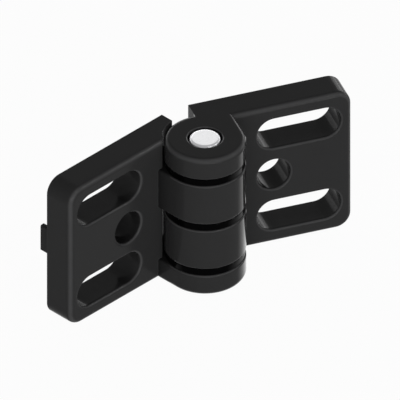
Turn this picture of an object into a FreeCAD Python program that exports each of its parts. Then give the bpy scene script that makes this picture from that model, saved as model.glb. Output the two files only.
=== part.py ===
import FreeCAD, Part
import os
from math import pi
from types import SimpleNamespace

import Sketcher

# Two-leaf hinge for slotted aluminium frames, drawn in millimetres, standing on its lower end.
# The pin's axis is Z, and the lower ends of the leaves and knuckles lie at Z = 0. The left leaf
# runs along -X, its mounting face looks to +Y, and the barrel stands out to -Y. The right leaf is
# turned round the pin by the fold angle, as on a door that stands ajar.

# Driving dimensions: name, value and what it is. Lengths are in millimetres, the angle in degrees.
SIZES = (
    ("leaf_height", 40.0, "height of a leaf along the pin"),
    ("leaf_reach", 40.0, "pin axis to the free end of a leaf"),
    ("leaf_gap_half", 0.75, "pin axis to the inner end of a leaf's plate"),
    ("plate_thickness", 8.0, "thickness of a leaf's plate"),
    ("axis_to_seat", 14.0, "pin axis to the mounting faces"),
    ("corner_radius", 4.0, "corners of the free end"),
    ("edge_radius", 1.5, "rounding of the front outline and of the outer knuckle end"),
    ("barrel_radius", 10.0, "outside of the knuckles"),
    ("barrel_clearance", 0.5, "room round the other leaf's knuckles"),
    ("end_knuckle", 5.8, "height of a leaf's outer knuckle"),
    ("ring_thickness", 2.0, "space between two knuckles, which a bush flange fills"),
    ("knuckle_edge", 0.5, "rounding of the knuckle edges beside the flanges"),
    ("mouth_edge", 0.5, "rounding of the bore's outer mouth"),
    ("slot_width", 8.5, "width of the slots and diameter of the round hole"),
    ("slot_inner", 20.0, "pin axis to the slots' inner centres and to the round hole"),
    ("slot_end_margin", 2.75, "outer ends of the slots to the free end"),
    ("slot_shift", 0.125, "slots towards the hole, from halfway between the hole and the edge"),
    ("slot_lip", 0.75, "rounding of the front edges of the slots and the hole"),
    ("lug_inset", 2.1, "free end to the outer side of the locating lug"),
    ("lug_length", 1.4, "size of the lug along the leaf"),
    ("lug_width", 7.5, "size of the lug along the pin"),
    ("lug_height", 4.3, "how far the lug stands out of the mounting face"),
    ("lug_edge", 0.45, "rounding of the lug's four long edges"),
    ("pin_diameter", 8.0, "hinge pin"),
    ("pin_recess", 0.1, "how far each end of the pin lies inside the knuckle's end"),
    ("pin_edge", 1.0, "rounding of the pin's ends"),
    ("bore_clearance", 0.25, "room round the pin where a knuckle's bore is clear of it"),
    ("bore_relief", 1.8, "depth of the clear mouth below which the pin is pressed in"),
    ("bush_wall", 0.95, "wall of a bush's spigot"),
    ("spigot_length", 3.5, "length of a bush's spigot"),
    ("spigot_lead", 0.4, "bevel of a spigot's end"),
    ("flange_inset", 0.25, "how far a bush's flange lies inside the barrel's outside"),
    ("flange_bevel", 0.25, "bevel of a flange's edges"),
    ("running_clearance", 0.05, "radial play of the pin in the bushes, and end play of a flange"),
    ("fold_angle", 25.0, "how far the right leaf is folded from flat"),
)

document = FreeCAD.newDocument("hinge")
sheet = document.addObject("Spreadsheet::Sheet", "sizes")
for row, (name, value, note) in enumerate(SIZES, start=1):
    sheet.set(f"A{row}", note)
    sheet.set(f"B{row}", str(value))
    sheet.setAlias(f"B{row}", name)
document.recompute()


class Length:
    """A length as its value today and as the expression that ties it to the sheet."""

    def __init__(self, value, text=None):
        self.value = value
        self.text = text or repr(value)

    def __add__(self, other):
        return Length(self.value + other.value, f"({self.text} + {other.text})")

    def __sub__(self, other):
        return Length(self.value - other.value, f"({self.text} - {other.text})")

    def __mul__(self, factor):
        return Length(self.value * factor, f"({self.text} * {factor})")

    def __truediv__(self, factor):
        return Length(self.value / factor, f"({self.text} / {factor})")

    def __neg__(self):
        return Length(-self.value, f"(-{self.text})")

    def within(self, wall):
        return Length(min(self.value, wall.value), f"min({self.text}; {wall.text})")


size = SimpleNamespace(**{name: Length(value, f"sizes.{name}") for name, value, note in SIZES})
ZERO = Length(0.0)

# Places that several features share, on a leaf that has its outer knuckle at the top
plate_front = size.axis_to_seat - size.plate_thickness
inner_knuckle = (size.leaf_height - size.end_knuckle * 2 - size.ring_thickness * 3) / 2
end_bottom = size.leaf_height - size.end_knuckle
inner_bottom = size.end_knuckle + size.ring_thickness
inner_top = inner_bottom + inner_knuckle
middle = size.leaf_height / 2

# The openings share out the leaf's height, and their rounding leaves half of the wall between them
slot_outer = size.leaf_reach - size.slot_end_margin - size.slot_width / 2
slot_offset = (size.leaf_height + size.slot_width) / 4 - size.slot_shift
slot_rounding = size.slot_lip.within((slot_offset - size.slot_width) / 4)

# Fits between the pin, the bushes and the knuckles
pin_bore = size.pin_diameter + size.running_clearance * 2
clear_bore = size.pin_diameter + size.bore_clearance * 2
spigot_diameter = pin_bore + size.bush_wall * 2
flange_diameter = (size.barrel_radius - size.flange_inset) * 2


# Bodies, sketches and their dimensions

def new_body(label):
    body = document.addObject("PartDesign::Body", label)
    body.Label = label
    return body


def new_sketch(body, name, plane="XY_Plane", height=None):
    """Starts a sketch on one of the body's own origin planes, or at a height above it."""
    sketch = body.newObject("Sketcher::SketchObject", name)
    support = next(item for item in body.Origin.OriginFeatures if item.Role == plane)
    sketch.AttachmentSupport = [(support, "")]
    sketch.MapMode = "FlatFace"
    if height:
        sketch.setExpression("AttachmentOffset.Base.z", height.text)
    return sketch


def dimension(sketch, kind, length, *where):
    """Adds a driving dimension that follows the sheet."""
    index = sketch.addConstraint(Sketcher.Constraint(kind, *where, length.value))
    sketch.setExpression(f"Constraints[{index}]", length.text)


def place_point(sketch, geometry, point, across, up):
    """Holds a point of the sketch at two distances from the sketch's origin."""
    for kind, length, axis in (("DistanceX", across, -2), ("DistanceY", up, -1)):
        if length.value:
            dimension(sketch, kind, length, -1, 1, geometry, point)
        else:
            sketch.addConstraint(Sketcher.Constraint("PointOnObject", geometry, point, axis))


def draw_outline(sketch, corners):
    """Draws a closed outline of straight lines through corners, each held from the origin."""
    points = [FreeCAD.Vector(across.value, up.value, 0) for across, up in corners]
    lines = [
        sketch.addGeometry(Part.LineSegment(begin, end))
        for begin, end in zip(points, points[1:] + points[:1])
    ]
    for line, following, corner in zip(lines, lines[1:] + lines[:1], corners):
        sketch.addConstraint(Sketcher.Constraint("Coincident", line, 2, following, 1))
        place_point(sketch, line, 1, *corner)


def draw_rectangle(sketch, left, right, low, high):
    draw_outline(sketch, ((left, low), (right, low), (right, high), (left, high)))


def draw_circle(sketch, diameter, across=ZERO, up=ZERO):
    centre = FreeCAD.Vector(across.value, up.value, 0)
    ring = sketch.addGeometry(Part.Circle(centre, FreeCAD.Vector(0, 0, 1), diameter.value / 2))
    dimension(sketch, "Diameter", diameter, ring)
    place_point(sketch, ring, 3, across, up)


def draw_arc(sketch, centre, radius, start, end):
    """Draws an arc anticlockwise from a start to an end angle round a centre held from the origin."""
    ring = Part.Circle(
        FreeCAD.Vector(centre[0].value, centre[1].value, 0), FreeCAD.Vector(0, 0, 1), radius.value
    )
    arc = sketch.addGeometry(Part.ArcOfCircle(ring, start, end))
    dimension(sketch, "Radius", radius, arc)
    place_point(sketch, arc, 3, *centre)
    return arc


def draw_knuckle_section(sketch, inner, low, high, low_edge, high_edge):
    """Draws a knuckle's section from a distance inner to the barrel, with its outer edges rounded."""
    outer = size.barrel_radius
    low_arc = draw_arc(sketch, (outer - low_edge, low + low_edge), low_edge, -pi / 2, 0)
    high_arc = draw_arc(sketch, (outer - high_edge, high - high_edge), high_edge, 0, pi / 2)
    corners = (
        (outer - high_edge, high),
        (inner, high),
        (inner, low),
        (outer - low_edge, low),
    )
    points = [FreeCAD.Vector(across.value, up.value, 0) for across, up in corners]
    top, side, bottom = [
        sketch.addGeometry(Part.LineSegment(begin, end)) for begin, end in zip(points, points[1:])
    ]
    wall = sketch.addGeometry(Part.LineSegment(
        FreeCAD.Vector(outer.value, low.value + low_edge.value, 0),
        FreeCAD.Vector(outer.value, high.value - high_edge.value, 0),
    ))
    sketch.addConstraint(Sketcher.Constraint("Coincident", top, 2, side, 1))
    sketch.addConstraint(Sketcher.Constraint("Coincident", side, 2, bottom, 1))
    sketch.addConstraint(Sketcher.Constraint("Tangent", bottom, 2, low_arc, 1))
    sketch.addConstraint(Sketcher.Constraint("Tangent", low_arc, 2, wall, 1))
    sketch.addConstraint(Sketcher.Constraint("Tangent", wall, 2, high_arc, 1))
    sketch.addConstraint(Sketcher.Constraint("Tangent", high_arc, 2, top, 1))
    place_point(sketch, side, 1, inner, high)
    place_point(sketch, side, 2, inner, low)


def add_feature(body, kind, name, sketch, **settings):
    """Adds a feature made from a sketch, and checks that it adds or removes material as it should."""
    before = body.Shape.Volume if body.Tip else 0.0
    feature = body.newObject(f"PartDesign::{kind}", name)
    feature.Profile = sketch
    for setting, value in settings.items():
        if isinstance(value, Length):
            feature.setExpression(setting, value.text)
        else:
            setattr(feature, setting, value)
    document.recompute()
    change = body.Shape.Volume - before
    if change * (-1 if kind == "Pocket" else 1) <= 0:
        raise RuntimeError(f"{body.Label}: {name} changes the volume by {change:.3f}")


def round_edges(body, name, radius, wanted):
    """Rounds every edge of the body for which wanted(edge) holds."""
    base = body.Tip
    names = [f"Edge{n}" for n, edge in enumerate(body.Shape.Edges, start=1) if wanted(edge)]
    if not names:
        raise RuntimeError(f"{body.Label}: {name} finds no edge")
    fillet = body.newObject("PartDesign::Fillet", name)
    fillet.Base = (base, names)
    fillet.setExpression("Radius", radius.text)
    document.recompute()


def lies_at(edge, **places):
    """Tells whether an edge lies where it is asked to, such as z=0, at its ends and its middle."""
    halfway = edge.valueAt((edge.FirstParameter + edge.LastParameter) / 2)
    points = [vertex.Point for vertex in edge.Vertexes] + [halfway]
    return all(
        abs(getattr(point, axis) - place) < 1e-4
        for point in points
        for axis, place in places.items()
    )


# The leaf: one casting, drawn with its outer knuckle at the top and its free end at +X

def leaf_plate(body):
    """Makes the plate, with its rounded free end and the rounding round its front face."""
    section = new_sketch(body, "plate_section")
    draw_rectangle(section, size.leaf_gap_half, size.leaf_reach, plate_front, size.axis_to_seat)
    add_feature(body, "Pad", "plate", section, Length=size.leaf_height)

    free_end = size.leaf_reach.value
    round_edges(
        body, "free_end_corners", size.corner_radius,
        lambda edge: any(lies_at(edge, x=free_end, z=end) for end in (0.0, size.leaf_height.value)),
    )
    round_edges(
        body, "front_rounding", size.edge_radius,
        lambda edge: lies_at(edge, y=plate_front.value)
        and not lies_at(edge, x=size.leaf_gap_half.value),
    )


def leaf_hollows(body):
    """Hollows the plate's inner end where the other leaf's knuckles and the flanges turn."""
    for name, low, high in (
        ("lower_hollow", ZERO, inner_bottom),
        ("upper_hollow", inner_top, end_bottom),
    ):
        circle = new_sketch(body, f"{name}_circle", height=low)
        draw_circle(circle, (size.barrel_radius + size.barrel_clearance) * 2)
        add_feature(body, "Pocket", name, circle, Length=high - low, Reversed=True)


def leaf_knuckle(body, name, low, high, low_edge, high_edge):
    """Turns a knuckle, and joins it to the plate by a web with a flat front end."""
    barrel = new_sketch(body, f"{name}_section", plane="XZ_Plane")
    draw_knuckle_section(barrel, ZERO, low, high, low_edge, high_edge)
    add_feature(
        body, "Revolution", name, barrel, ReferenceAxis=(barrel, ["V_Axis"]), Angle=360.0
    )
    web = new_sketch(body, f"{name}_web_section", plane="XZ_Plane")
    draw_knuckle_section(web, size.leaf_gap_half, low, high, low_edge, high_edge)
    add_feature(body, "Pad", f"{name}_web", web, Length=size.axis_to_seat, Reversed=True)


def leaf_openings(body):
    """Cuts the two slots and the round hole, and rounds their front edges."""
    outlines = new_sketch(body, "opening_outlines", plane="XZ_Plane")
    radius = size.slot_width / 2
    for level in (middle - slot_offset, middle + slot_offset):
        inner_end = draw_arc(outlines, (size.slot_inner, level), radius, pi / 2, 3 * pi / 2)
        outer_end = draw_arc(outlines, (slot_outer, level), radius, -pi / 2, pi / 2)
        for side, (begin, end) in ((1, (1, 2)), (-1, (2, 1))):
            edge = level.value + side * radius.value
            rail = outlines.addGeometry(Part.LineSegment(
                FreeCAD.Vector(size.slot_inner.value, edge, 0),
                FreeCAD.Vector(slot_outer.value, edge, 0),
            ))
            outlines.addConstraint(Sketcher.Constraint("Tangent", rail, 1, inner_end, begin))
            outlines.addConstraint(Sketcher.Constraint("Tangent", rail, 2, outer_end, end))
    draw_circle(outlines, size.slot_width, size.slot_inner, middle)
    add_feature(body, "Pocket", "openings", outlines, Length=size.axis_to_seat * 2, Midplane=True)

    low_side = size.slot_inner.value - radius.value
    high_side = slot_outer.value + radius.value
    rounded_rim = size.edge_radius.value + 0.01
    round_edges(
        body, "opening_rounding", slot_rounding,
        lambda edge: lies_at(edge, y=plate_front.value)
        and edge.BoundBox.XMin > low_side - 0.01
        and edge.BoundBox.XMax < high_side + 0.01
        and edge.BoundBox.ZMin > rounded_rim
        and edge.BoundBox.ZMax < size.leaf_height.value - rounded_rim,
    )


def leaf_lug(body):
    """Adds the lug that keeps the leaf from turning in the groove of a frame."""
    low = middle - size.lug_width / 2
    section = new_sketch(body, "lug_section", height=low)
    outer_side = size.leaf_reach - size.lug_inset
    inner_side = outer_side - size.lug_length
    tip = size.axis_to_seat + size.lug_height
    draw_rectangle(section, inner_side, outer_side, size.axis_to_seat, tip)
    add_feature(body, "Pad", "lug", section, Length=size.lug_width)
    levels = (low.value, low.value + size.lug_width.value)
    round_edges(
        body, "lug_rounding", size.lug_edge,
        lambda edge: any(
            lies_at(edge, x=side.value, z=level)
            for side in (inner_side, outer_side)
            for level in levels
        ),
    )


def leaf_bore(body, name, diameter, low, depth):
    circle = new_sketch(body, f"{name}_circle", height=low)
    draw_circle(circle, diameter)
    add_feature(body, "Pocket", name, circle, Length=depth, Reversed=True)


def leaf_mouth(body):
    """Rounds the outer mouth of the bore, in the end of the outer knuckle."""
    radius = clear_bore.value / 2
    round_edges(
        body, "mouth_rounding", size.mouth_edge,
        lambda edge: lies_at(edge, z=size.leaf_height.value)
        and edge.BoundBox.XMax < radius + 0.01
        and edge.BoundBox.YMax < radius + 0.01
        and edge.BoundBox.YMin > -radius - 0.01,
    )


def make_leaf(label):
    body = new_body(label)
    leaf_plate(body)
    leaf_hollows(body)
    leaf_knuckle(
        body, "end_knuckle", end_bottom, size.leaf_height, size.knuckle_edge, size.edge_radius
    )
    leaf_knuckle(
        body, "inner_knuckle", inner_bottom, inner_top, size.knuckle_edge, size.knuckle_edge
    )
    leaf_openings(body)
    leaf_lug(body)
    return body


def make_left_leaf():
    """The leaf that holds the pin: its knuckles are bored to the pin's own size."""
    body = make_leaf("left_leaf")
    leaf_bore(body, "pin_seat", size.pin_diameter, ZERO, size.leaf_height)
    relief_bottom = size.leaf_height - size.bore_relief
    leaf_bore(body, "mouth_relief", clear_bore, relief_bottom, size.bore_relief)
    leaf_mouth(body)
    # It is the same casting as the right leaf, turned end for end, so its outer knuckle is below.
    body.Placement = FreeCAD.Placement(
        FreeCAD.Vector(0, 0, size.leaf_height.value), FreeCAD.Rotation(FreeCAD.Vector(0, 1, 0), 180)
    )
    body.setExpression("Placement.Base.z", size.leaf_height.text)
    return body


def make_right_leaf():
    """The leaf that turns: its knuckles are bored clear of the pin, with seats for the bushes."""
    body = make_leaf("right_leaf")
    leaf_bore(body, "clear_bore", clear_bore, ZERO, size.leaf_height)
    for name, low in (
        ("upper_seat", end_bottom),
        ("middle_seat", inner_top - size.spigot_length),
        ("lower_seat", inner_bottom),
    ):
        leaf_bore(body, name, spigot_diameter, low, size.spigot_length)
    leaf_mouth(body)
    body.Placement = FreeCAD.Placement(
        FreeCAD.Vector(0, 0, 0), FreeCAD.Rotation(FreeCAD.Vector(0, 0, 1), -size.fold_angle.value)
    )
    body.setExpression("Placement.Rotation.Angle", (-size.fold_angle).text)
    return body


# The pin and its bushes

def make_pin():
    body = new_body("hinge_pin")
    circle = new_sketch(body, "pin_circle", height=size.pin_recess)
    draw_circle(circle, size.pin_diameter)
    add_feature(body, "Pad", "pin", circle, Length=size.leaf_height - size.pin_recess * 2)
    tips = (size.pin_recess.value, size.leaf_height.value - size.pin_recess.value)
    round_edges(
        body, "pin_rounding", size.pin_edge,
        lambda edge: any(lies_at(edge, z=tip) for tip in tips),
    )
    return body


def make_bush(label, height, turned):
    """Turns a flanged bush, its spigot up, or down where it is turned over by 180 degrees."""
    body = new_body(label)
    profile = new_sketch(body, "bush_profile", plane="XZ_Plane")
    bore = pin_bore / 2
    spigot = spigot_diameter / 2
    rim = flange_diameter / 2
    face = size.running_clearance - size.ring_thickness
    draw_outline(profile, (
        (bore, face),
        (rim - size.flange_bevel, face),
        (rim, face + size.flange_bevel),
        (rim, -size.flange_bevel),
        (rim - size.flange_bevel, ZERO),
        (spigot, ZERO),
        (spigot, size.spigot_length - size.spigot_lead),
        (spigot - size.spigot_lead, size.spigot_length),
        (bore, size.spigot_length),
    ))
    add_feature(
        body, "Revolution", "bush", profile, ReferenceAxis=(profile, ["V_Axis"]), Angle=360.0
    )
    body.Placement = FreeCAD.Placement(
        FreeCAD.Vector(0, 0, height.value), FreeCAD.Rotation(FreeCAD.Vector(1, 0, 0), turned)
    )
    body.setExpression("Placement.Base.z", height.text)
    return body


pieces = [
    make_left_leaf(),
    make_right_leaf(),
    make_pin(),
    make_bush("upper_bush", end_bottom, 0),
    make_bush("middle_bush", inner_top, 180),
    make_bush("lower_bush", inner_bottom, 0),
]
document.recompute()

# Nothing is written unless every feature was built and every piece is one sound solid
for item in document.Objects:
    if "Invalid" in item.State or "Error" in item.State:
        raise RuntimeError(f"{item.Label} could not be built")
for piece in pieces:
    if piece.Shape.isNull() or not piece.Shape.isValid() or len(piece.Shape.Solids) != 1:
        raise RuntimeError(f"{piece.Label} is not one valid solid")

os.makedirs("parts", exist_ok=True)
for piece in pieces:
    piece.Shape.exportStep(f"parts/{piece.Label}.step")
    box = piece.Shape.BoundBox
    print(
        f"{piece.Label}: X {box.XMin:.2f} to {box.XMax:.2f}, Y {box.YMin:.2f} to {box.YMax:.2f},"
        f" Z {box.ZMin:.2f} to {box.ZMax:.2f}, {piece.Shape.Volume:.0f} cubic millimetres"
    )
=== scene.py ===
# %% [markdown]
# # A black hinge on a white table
#
# This lesson shows a small machined hinge as it would stand in a photographer's light tent: two
# thick leaves with slots, a barrel of four knuckles with three plastic bushes between them, and
# a steel pin whose end shines in the mouth of the top knuckle. The shapes come finished from a
# solid model, so the work here is light and surface. A black object shows almost nothing of its
# own colour. What the eye reads is what its surfaces mirror, and how sharply.

# %% Load the frame
from math import cos, pi, radians, sin

import bpy
from mathutils import Matrix, Vector


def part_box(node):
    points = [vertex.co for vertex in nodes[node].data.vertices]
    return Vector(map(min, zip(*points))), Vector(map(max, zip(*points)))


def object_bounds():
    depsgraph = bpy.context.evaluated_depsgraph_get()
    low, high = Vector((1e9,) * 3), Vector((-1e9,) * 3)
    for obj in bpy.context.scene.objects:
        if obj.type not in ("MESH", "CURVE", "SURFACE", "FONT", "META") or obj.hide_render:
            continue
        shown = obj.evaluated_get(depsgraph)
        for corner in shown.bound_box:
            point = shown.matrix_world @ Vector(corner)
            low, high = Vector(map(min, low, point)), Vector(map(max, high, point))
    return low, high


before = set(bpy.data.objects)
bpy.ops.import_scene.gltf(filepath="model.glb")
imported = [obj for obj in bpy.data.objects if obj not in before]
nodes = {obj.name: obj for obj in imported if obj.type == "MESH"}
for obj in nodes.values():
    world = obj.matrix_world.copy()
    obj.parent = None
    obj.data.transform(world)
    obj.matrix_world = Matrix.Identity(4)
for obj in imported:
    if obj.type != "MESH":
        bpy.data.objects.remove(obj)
solid_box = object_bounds()
for name in sorted(nodes):
    low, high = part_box(name)
    size = [round((b - a) * 1000, 1) for a, b in zip(low, high)]
    print(f"{name}: {size} mm, {len(nodes[name].data.polygons)} faces")

# %% [markdown]
# ## The camera
#
# The picture is a parallel view from above the front left corner, 45 degrees round and 35.26
# degrees down, the angle at which a cube's three visible faces look alike. A perspective camera
# far away with a long lens would come close. An orthographic one is exact, and its scale is
# simply the width of the picture in metres. It is aimed at the middle of the picture, which is
# given by how far it lies to the right of the pin's upper end and above it. Both are negative,
# since the middle lies to the left and lower down.

# %% Place the camera
PIXELS_PER_MM = 4.14
PICTURE_WIDTH = 400 / PIXELS_PER_MM / 1000
TURN = radians(-45)
DOWN = radians(35.264)
PIN_TOP = Vector((0, 0, 0.040))
AIM_RIGHT = -0.001208
AIM_UP = -0.015217
CAMERA_AWAY = 0.5

to_right = Vector((cos(TURN), sin(TURN), 0))
to_viewer = Vector((sin(TURN) * cos(DOWN), -cos(TURN) * cos(DOWN), sin(DOWN)))
to_top = to_viewer.cross(to_right)


def look_along(right, top, back, place):
    """The matrix of an object that looks against back, with right and top as its own X and Y."""
    turned = Matrix((right, top, back)).transposed().to_4x4()
    return Matrix.Translation(place) @ turned


picture_centre = PIN_TOP + AIM_RIGHT * to_right + AIM_UP * to_top
camera_place = picture_centre + CAMERA_AWAY * to_viewer
lens = bpy.data.cameras.new("camera")
lens.type = "ORTHO"
lens.ortho_scale = PICTURE_WIDTH
lens.clip_start = 0.01
lens.clip_end = 20
camera = bpy.data.objects.new("camera", lens)
camera.matrix_world = look_along(to_right, to_top, to_viewer, camera_place)
bpy.context.scene.collection.objects.link(camera)
bpy.context.scene.camera = camera
bpy.context.scene.view_settings.view_transform = "Standard"
print("the camera stands at", [round(value, 3) for value in camera.location])

# %% [markdown]
# ## Shader maths
#
# A finish is a recipe: some noise here, a little less gloss there. Node by node, such a recipe
# is long and hard to read, so a small class stands for one socket and lets Python's own signs do
# the work. `0.3 + 0.1 * cloud` then adds a Multiply and an Add node. Every other kind of node
# comes from the one method `node`, which sets the node's options first, because they can change
# its sockets.

# %% A socket that can be calculated with


class Signal:
    """One output socket in a material or world. A Signal with no socket only starts a recipe."""

    def __init__(self, tree, socket=None):
        self.tree = tree
        self.socket = socket

    def node(self, kind, settings=None, values=None, output=0):
        made = self.tree.nodes.new(kind)
        for name, setting in (settings or {}).items():
            setattr(made, name, setting)
        for name, value in (values or {}).items():
            if isinstance(value, Signal):
                self.tree.links.new(value.socket, made.inputs[name])
            else:
                made.inputs[name].default_value = value
        return Signal(self.tree, made.outputs[output] if made.outputs else None)

    def maths(self, operation, *terms):
        return self.node("ShaderNodeMath", {"operation": operation}, dict(enumerate(terms)))

    def __add__(self, other):
        return self.maths("ADD", self, other)

    def __rsub__(self, other):
        return self.maths("SUBTRACT", other, self)

    def __mul__(self, other):
        return self.maths("MULTIPLY", self, other)

    __radd__ = __add__
    __rmul__ = __mul__


def blend(recipe, amount, one, other):
    """Mixes two colours, the first where the amount is 0 and the second where it is 1."""
    return recipe.node(
        "ShaderNodeMix",
        {"data_type": "RGBA", "clamp_factor": True},
        {0: amount, 6: one, 7: other},
        output=2,
    )


def grey(level):
    return (level, level, level, 1)


print("a Signal knows", sorted(name for name in vars(Signal) if not name.startswith("__")))

# %% [markdown]
# ## White surroundings
#
# Product pictures like this are lit from all round, with the object on a white sheet. A white
# sky lights every face alike. It could be a dome object, but a world costs nothing to build. The
# light that falls on the hinge is kept moderate, while whatever sees the sky directly, by eye or
# in a mirror, sees it plain white.

# %% The world
SKY_LIGHT = 0.06

sky = bpy.data.worlds.new("white_surroundings")
sky.use_nodes = True
sky.node_tree.nodes.clear()


def seen_directly(recipe):
    """1 for a ray from the eye, or one that a mirror or glass sent on, and 0 for all others."""
    kinds = [
        recipe.node("ShaderNodeLightPath", output=f"Is {kind} Ray")
        for kind in ("Camera", "Glossy", "Transmission")
    ]
    return recipe.maths("MINIMUM", kinds[0] + kinds[1] + kinds[2], 1.0)


recipe = Signal(sky.node_tree)
brightness = SKY_LIGHT + (1 - SKY_LIGHT) * seen_directly(recipe)
light = recipe.node("ShaderNodeBackground", None, {"Color": grey(1), "Strength": brightness})
recipe.node("ShaderNodeOutputWorld", None, {"Surface": light})
bpy.context.scene.world = sky
print("the sky gives", SKY_LIGHT, "of the light")

# %% [markdown]
# ## Five soft lamps
#
# The sky alone would make the hinge look flat. The main lamp stands low in front and to the
# left, so that the upright faces come out lighter than the top. It is broad, because a small one
# would show as a glaring patch wherever a face mirrors it. Two more like it stand at the back
# and at the right, for whoever walks round the hinge. Two small ones, up in front and at the
# right, are there for the rounded edges: each edge turns through every direction between its two
# faces, and somewhere on the way it mirrors one of them as a fine light line. What a lamp adds
# to a white card that faces it is, for a small lamp, its power over the square of pi times its
# distance, so the power is worked out from that.

# %% The lamps
HINGE_MIDDLE = Vector((0, 0, 0.020))


def add_lamp(name, around, above, distance, width, height, share):
    """Hangs a lamp that adds a share of full white to a card that faces it."""
    out = Vector((
        sin(radians(around)) * cos(radians(above)),
        -cos(radians(around)) * cos(radians(above)),
        sin(radians(above)),
    ))
    data = bpy.data.lights.new(name, "AREA")
    data.shape = "RECTANGLE"
    data.size = width
    data.size_y = height
    data.energy = share * (pi * distance) ** 2
    lamp = bpy.data.objects.new(name, data)
    side = Vector((0, 0, 1)).cross(out).normalized()
    lamp.matrix_world = look_along(side, out.cross(side), out, HINGE_MIDDLE + distance * out)
    bpy.context.scene.collection.objects.link(lamp)
    print(f"{name}: {data.energy:.2f} W at {distance} m")


add_lamp("main_lamp", -37, 7, distance=1.2, width=1.60, height=0.50, share=1.05)
add_lamp("back_lamp", 165, 10, distance=1.2, width=1.80, height=0.60, share=0.62)
add_lamp("right_lamp", 95, 10, distance=1.2, width=1.20, height=0.60, share=0.45)
add_lamp("high_edge_lamp", -4, 48, distance=0.9, width=0.08, height=0.08, share=0.07)
add_lamp("right_edge_lamp", 45, 35, distance=0.9, width=0.08, height=0.08, share=0.09)

# %% [markdown]
# ## The table
#
# The hinge stands on its lower end, so the table lies just under its lowest point. A white sheet
# that is only lit turns grey towards the shadow and away from the lamps. So most of what the eye
# sees of it glows plain white, and the rest is ordinary paper that still takes the hinge's
# shadow.

# %% The floor
TABLE_HALF = 1.5
TABLE_BELOW = 0.00002
GLOW = 0.96
PAPER_WHITE = 0.92

table_mesh = bpy.data.meshes.new("table")
signs = ((-1, -1), (1, -1), (1, 1), (-1, 1))
corners = [(x * TABLE_HALF, y * TABLE_HALF, 0) for x, y in signs]
table_mesh.from_pydata(corners, [], [(0, 1, 2, 3)])
table = bpy.data.objects.new("table", table_mesh)
table.location.z = solid_box[0][2] - TABLE_BELOW
bpy.context.scene.collection.objects.link(table)

paper = bpy.data.materials.new("white_paper")
paper.use_nodes = True
paper.node_tree.nodes.clear()
recipe = Signal(paper.node_tree)
lit = recipe.node("ShaderNodeBsdfDiffuse", None, {"Color": grey(PAPER_WHITE)})
glow = recipe.node("ShaderNodeEmission", None, {"Color": grey(1), "Strength": 1.0})
share_of_glow = GLOW * seen_directly(recipe)
sheet = recipe.node("ShaderNodeMixShader", None, {0: share_of_glow, 1: lit, 2: glow})
recipe.node("ShaderNodeOutputMaterial", None, {"Surface": sheet})
table_mesh.materials.append(paper)
print("the table's top is at", round(table.location.z * 1000, 3), "mm")

# %% [markdown]
# ## A finish to start from
#
# All three finishes of the hinge start from Blender's Principled shader. What is the same all
# over a surface is written straight into its sockets. What changes from place to place comes
# from the position on the piece, in metres, so a pattern keeps its real size and moves with its
# piece.

# %% Start a finish


def start_finish(name, **fixed):
    """Makes a material and returns it with its shader and a recipe to add to."""
    material = bpy.data.materials.new(name)
    material.use_nodes = True
    shader = material.node_tree.nodes["Principled BSDF"]
    for socket, value in fixed.items():
        shader.inputs[socket.replace("_", " ")].default_value = value
    return material, shader, Signal(material.node_tree)


def feed(shader, **varying):
    for socket, signal in varying.items():
        signal.tree.links.new(signal.socket, shader.inputs[socket.replace("_", " ")])


def position(recipe):
    return recipe.node("ShaderNodeTexCoord", output="Object")


def mottle(recipe, place, spot, detail=2.0):
    """Noise between 0 and 1 whose spots are about so many metres across."""
    return recipe.node(
        "ShaderNodeTexNoise",
        {"normalize": True},
        {"Vector": place, "Scale": 1 / spot, "Detail": detail},
    )


def raised(recipe, height, depth, strength):
    """The normal of a surface on which a height of 1 stands out so many metres."""
    return recipe.node(
        "ShaderNodeBump", None, {"Strength": strength, "Distance": depth, "Height": height}
    )


def slanted(recipe):
    """Is 0 where a surface faces the eye and goes up to 1 where it is seen edge on."""
    return recipe.node("ShaderNodeLayerWeight", None, {"Blend": 0.5}, output="Facing")


print("patterns are measured on", nodes["left_leaf"].name, "in metres")

# %% [markdown]
# ## Finding the edges and the sheltered walls
#
# The edges and rounded rims of the leaves are coloured paler, a painted highlight for the fine
# light lines that rounded edges mirror. Two kinds of edge have to be found. Blender's Bevel node
# finds the sharp ones: it rounds the normal there, so the normal differs from the flat one.
# Where a rim is rounded for real, the normal itself leans between two faces: on the plate,
# partly towards the front, and on the barrel, partly upwards.
#
# On walls that run from front to back, such as those inside the slots, the colour is darkened
# towards black as a painted shade, where little light gets in. The Ambient Occlusion node finds
# such places, because it tells how much of the space in front of a point is free. It is told to
# look at the leaf alone, so that nothing changes when the leaf swings.

# %% Helpers for edges
BARREL = 0.0101
SHARP_EDGE_WIDTH = 0.00035
WALL_DISTANCE = 0.014


def ramp(recipe, value, low, high):
    """Goes from 0 to 1 as the value goes from low to high."""
    return recipe.node(
        "ShaderNodeMapRange",
        {"clamp": True},
        {"Value": value, "From Min": low, "From Max": high, "To Min": 0.0, "To Max": 1.0},
    )


def dot(recipe, one, other):
    settings = {"operation": "DOT_PRODUCT"}
    return recipe.node("ShaderNodeVectorMath", settings, {0: one, 1: other}, output="Value")


def halfway(share):
    """Is 1 where a normal lies halfway between a direction and a face square to it."""
    square = share * share
    return 4 * square * (1 - square)


def sharp_edges(recipe, width):
    """Is above 0 within a width of a sharp edge."""
    rounded = recipe.node("ShaderNodeBevel", {"samples": 6}, {"Radius": width})
    flat = recipe.node("ShaderNodeNewGeometry", output="Normal")
    return ramp(recipe, dot(recipe, rounded, flat), 0.98, 0.80)


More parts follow.
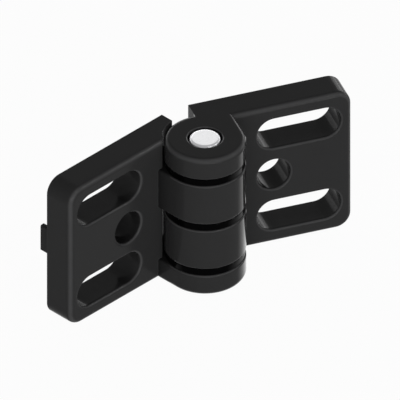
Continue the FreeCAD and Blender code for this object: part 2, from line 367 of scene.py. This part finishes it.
def near_axis(recipe, place, radius):
    """Is 1 for places within a radius of the pin's axis and 0 beyond."""
    level = recipe.node(
        "ShaderNodeVectorMath", {"operation": "MULTIPLY"}, {0: place, 1: (1, 1, 0)}
    )
    away = recipe.node(
        "ShaderNodeVectorMath", {"operation": "LENGTH"}, {0: level}, output="Value"
    )
    return recipe.maths("LESS_THAN", away, radius)


def rounded_rims(recipe, backwards, upwards, barrel):
    """Is 1 in the middle of a leaf's rounded rims."""
    leaning = halfway(backwards) * (1 - barrel) + halfway(upwards) * barrel
    return ramp(recipe, leaning, 0.25, 1.0)


def sheltered_walls(recipe, backwards):
    """Is above 0 on walls from front to back that have other walls of the leaf near them."""
    openness = recipe.node(
        "ShaderNodeAmbientOcclusion",
        {"samples": 8, "only_local": True},
        {"Distance": WALL_DISTANCE},
        output="AO",
    )
    return ramp(recipe, openness, 0.80, 0.40) * (1 - backwards * backwards)


print("the barrel's rims lie within", BARREL * 1000, "mm of the axis")

# %% [markdown]
# ## The leaves' black coating
#
# The leaves are cast and coated satin black. Powder coating flows as it melts, and leaves
# shallow waves about half a millimetre apart, like orange peel, with a finer grain on top. An
# image of such a surface would blur close up, so two sizes of noise raise it instead. Handling
# makes a coating a little smoother in some places than in others, which shows only in the
# reflections. The barrel is where hands rub, so it has a polish, which shows where it turns away
# from the eye.
#
# The leaves stand at an angle to each other, so each gets its own copy of the finish that knows
# where its front is.

# %% The coating
WAVE = 0.0006
GRAIN = 0.00012
HANDLED_PATCH = 0.012
WAVE_DEPTH = 0.000012
BLACK = (0.0247, 0.0247, 0.0249, 1)
HANDLED_BLACK = (0.0277, 0.0277, 0.0279, 1)
SPECK = (0.0322, 0.0322, 0.0327, 1)
# A paler colour for the edges and rounded rims: a painted highlight.
PAINTED_HIGHLIGHT = (0.068, 0.068, 0.069, 1)
# Nearly black: a painted shade for the sheltered walls.
PAINTED_SHADE = grey(0.004)


def leaf_coating(name, fold):
    """The coating for the leaf whose back is turned so many degrees from the left leaf's."""
    coating, shader, recipe = start_finish(
        name, IOR=1.45, Specular_IOR_Level=0.038, Coat_Roughness=0.06
    )
    place = position(recipe)
    waves = mottle(recipe, place, WAVE)
    grain = mottle(recipe, place, GRAIN, detail=3.0)
    handling = mottle(recipe, place, HANDLED_PATCH, detail=4.0)

    normal = recipe.node("ShaderNodeTexCoord", output="Normal")
    backwards = dot(recipe, normal, (sin(radians(fold)), cos(radians(fold)), 0))
    upwards = dot(recipe, normal, (0, 0, 1))
    barrel = near_axis(recipe, place, BARREL)
    rims = rounded_rims(recipe, backwards, upwards, barrel)
    edges = recipe.maths("MAXIMUM", sharp_edges(recipe, SHARP_EDGE_WIDTH), rims)
    # Painted highlight along the edges and rounded rims, uneven with the handling patches.
    painted_highlight = edges * (0.45 + 0.6 * handling)
    polished = barrel * (1 - upwards * upwards)
    # Painted shade on sheltered walls, found by ambient occlusion.
    painted_shade_amount = 0.8 * sheltered_walls(recipe, backwards)

    black = blend(recipe, handling, BLACK, HANDLED_BLACK)
    speckled = blend(recipe, 0.35 * grain, black, SPECK)
    highlighted_black = blend(recipe, painted_highlight, speckled, PAINTED_HIGHLIGHT)
    turned_away = ramp(recipe, slanted(recipe), 0.50, 0.75)
    feed(
        shader,
        Base_Color=blend(recipe, painted_shade_amount, highlighted_black, PAINTED_SHADE),
        Roughness=0.09 + 0.06 * handling + 0.03 * grain,
        Coat_Weight=polished * turned_away,
        Normal=raised(recipe, waves + 0.35 * grain, WAVE_DEPTH, 0.25),
    )
    return coating


left_coating = leaf_coating("satin_black_left", fold=0)
right_coating = leaf_coating("satin_black_right", fold=25)
print(f"waves {WAVE * 1000:.2f} mm and grain {GRAIN * 1000:.2f} mm across on both leaves")

# %% [markdown]
# ## The marks of a lathe tool
#
# Pin and bushes are turned. A tool leaves fine rings round the axis: circles on a flat end, and
# hoops along the side. Both come from one sine wave, of the distance from the axis plus the
# height, since on an end only the first changes and on the side only the second. A little noise
# is added to it, because no tool runs quite true.

# %% Helper for turned pieces


def tool_marks(recipe, place, step, wander):
    """Rings a step apart, from 0 in a groove to 1 on a ridge, led astray by wander."""
    x, y, z = (
        recipe.node("ShaderNodeSeparateXYZ", None, {"Vector": place}, output=axis)
        for axis in "XYZ"
    )
    outwards = recipe.maths("SQRT", x * x + y * y)
    wave = recipe.maths("SINE", (outwards + z) * (2 * pi / step) + wander)
    return 0.5 + 0.5 * wave


print("the pin is", round(nodes["hinge_pin"].dimensions.x * 1000, 2), "mm across")

# %% [markdown]
# ## The pin's bright steel
#
# The pin is cut from ground steel bar, and its faced end is bright. The rounded rim and the side
# are coloured a darker steel and made a little rougher, told apart by the normal's height. The
# darker colour is a painted shade for the dark surroundings that the rim mirrors.

# %% The steel
PIN_TOOL_STEP = 0.00016
PIN_MARK_DEPTH = 0.000004
STRAY_PATCH = 0.0011
TARNISH_PATCH = 0.003
FACED = (0.74, 0.74, 0.75, 1)
TARNISHED = (0.70, 0.70, 0.71, 1)
# Darker steel for the rounded rim and the side: a painted shade.
RIM_PAINTED_SHADE = (0.38, 0.38, 0.39, 1)

steel, shader, recipe = start_finish("turned_steel", Metallic=1.0)
place = position(recipe)
stray = mottle(recipe, place, STRAY_PATCH)
rings = tool_marks(recipe, place, PIN_TOOL_STEP, 2.5 * stray)
tarnish = mottle(recipe, place, TARNISH_PATCH, detail=4.0)
facing = recipe.node("ShaderNodeNewGeometry", output="Normal")
upright = recipe.node("ShaderNodeSeparateXYZ", None, {"Vector": facing}, output="Z")
# The rim and the side: painted shade in the colour, and a rougher surface.
rim_shade_and_dullness = ramp(recipe, upright * upright, 0.985, 0.90)
faced = blend(recipe, tarnish, FACED, TARNISHED)
feed(
    shader,
    Base_Color=blend(recipe, rim_shade_and_dullness, faced, RIM_PAINTED_SHADE),
    Roughness=0.20 + 0.08 * tarnish + 0.05 * rings + 0.10 * rim_shade_and_dullness,
    Normal=raised(recipe, rings, PIN_MARK_DEPTH, 0.3),
)
print("tool rings", PIN_TOOL_STEP * 1000, "mm apart on", steel.name)

# %% [markdown]
# ## The bushes' black plastic
#
# The three rings in the barrel are bearing plastic, moulded and then trimmed on a lathe. The
# plastic is black and smoother than the coating, and its colour is darker still, a painted shade
# for the narrow gaps between the knuckles. Faint hoops from the trimming run round the rims, and
# a slight cloudiness comes from how the melt flowed.

# %% The plastic
TRIM_STEP = 0.00022
TRIM_DEPTH = 0.000003
FLOW_PATCH = 0.004
# Black plastic with painted shade of the gaps between the knuckles.
DARK_PLASTIC_AND_GAP_SHADE = (0.0005, 0.0005, 0.0006, 1)
CLOUDY_PLASTIC_AND_GAP_SHADE = (0.0012, 0.0012, 0.0013, 1)

plastic, shader, recipe = start_finish(
    "bearing_plastic", IOR=1.48, Specular_IOR_Level=0.012, Coat_Roughness=0.12
)
place = position(recipe)
flow = mottle(recipe, place, FLOW_PATCH, detail=3.0)
hoops = tool_marks(recipe, place, TRIM_STEP, 3.0 * flow)
feed(
    shader,
    Base_Color=blend(recipe, flow, DARK_PLASTIC_AND_GAP_SHADE, CLOUDY_PLASTIC_AND_GAP_SHADE),
    Roughness=0.16 + 0.06 * flow + 0.03 * hoops,
    Coat_Weight=ramp(recipe, slanted(recipe), 0.32, 0.60) * (0.25 + 0.15 * flow),
    Normal=raised(recipe, hoops, TRIM_DEPTH, 0.2),
)
print("trimming hoops", TRIM_STEP * 1000, "mm apart on", plastic.name)

# %% [markdown]
# ## Dress the pieces
#
# A piece of the solid model keeps its mesh and gets a finish through its own material slots.

# %% Give each piece its finish
FINISHES = {
    "left_leaf": left_coating,
    "right_leaf": right_coating,
    "hinge_pin": steel,
    "upper_bush": plastic,
    "middle_bush": plastic,
    "lower_bush": plastic,
}
for name, finish in FINISHES.items():
    for slot in nodes[name].material_slots:
        slot.material = finish
    print(name, "is now", finish.name)

# %% [markdown]
# ## Close
#
# The picture must not change the size of the thing.
